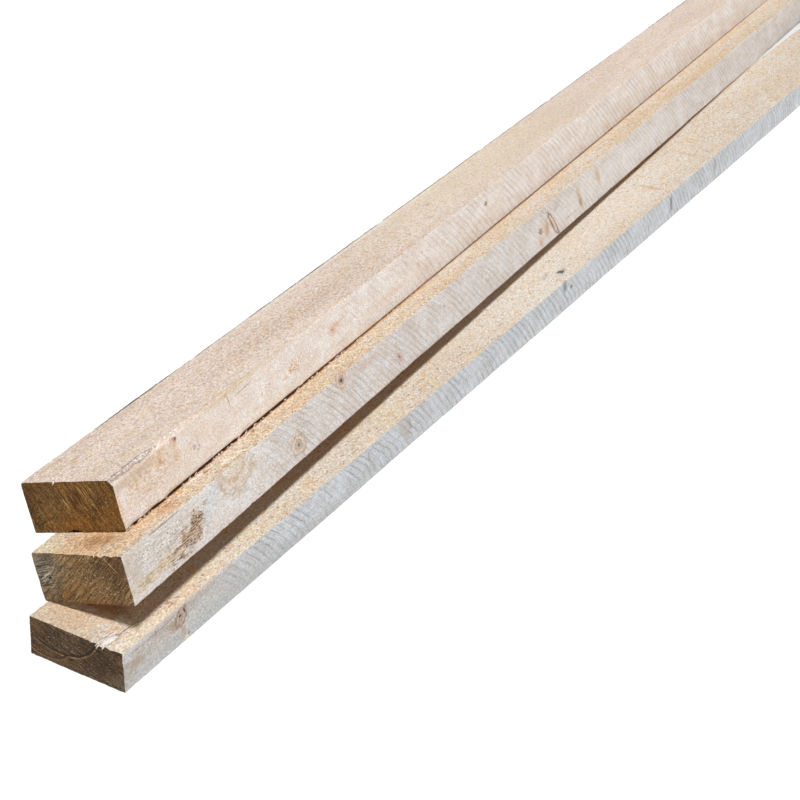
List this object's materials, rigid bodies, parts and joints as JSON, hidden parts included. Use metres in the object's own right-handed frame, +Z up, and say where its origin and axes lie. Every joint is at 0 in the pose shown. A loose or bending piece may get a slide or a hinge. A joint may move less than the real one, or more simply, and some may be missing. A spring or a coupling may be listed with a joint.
{
  "type": "stack of hardwood strips",
  "caption": "Rough-sawn hardwood strips of oblong section, stored one on another: the lowest flat, the others leaning over it.",
  "frame": {"origin": "middle of the bottom of the stack's own box, on the floor", "axes": "+Y along the strips, away from the near ends; +X across them to the right; +Z up"},
  "size_m": [0.156, 1.253, 0.0811],
  "materials": {
    "bottom_wood": "rough sawn, unfinished, slightly greyed",
    "middle_wood": "rough sawn, unfinished",
    "top_wood": "rough sawn, unfinished"
  },
  "bodies": {
    "root": {"bottom_strip": "bottom_wood", "middle_strip": "middle_wood", "top_strip": "top_wood"}
  },
  "joints": []
}
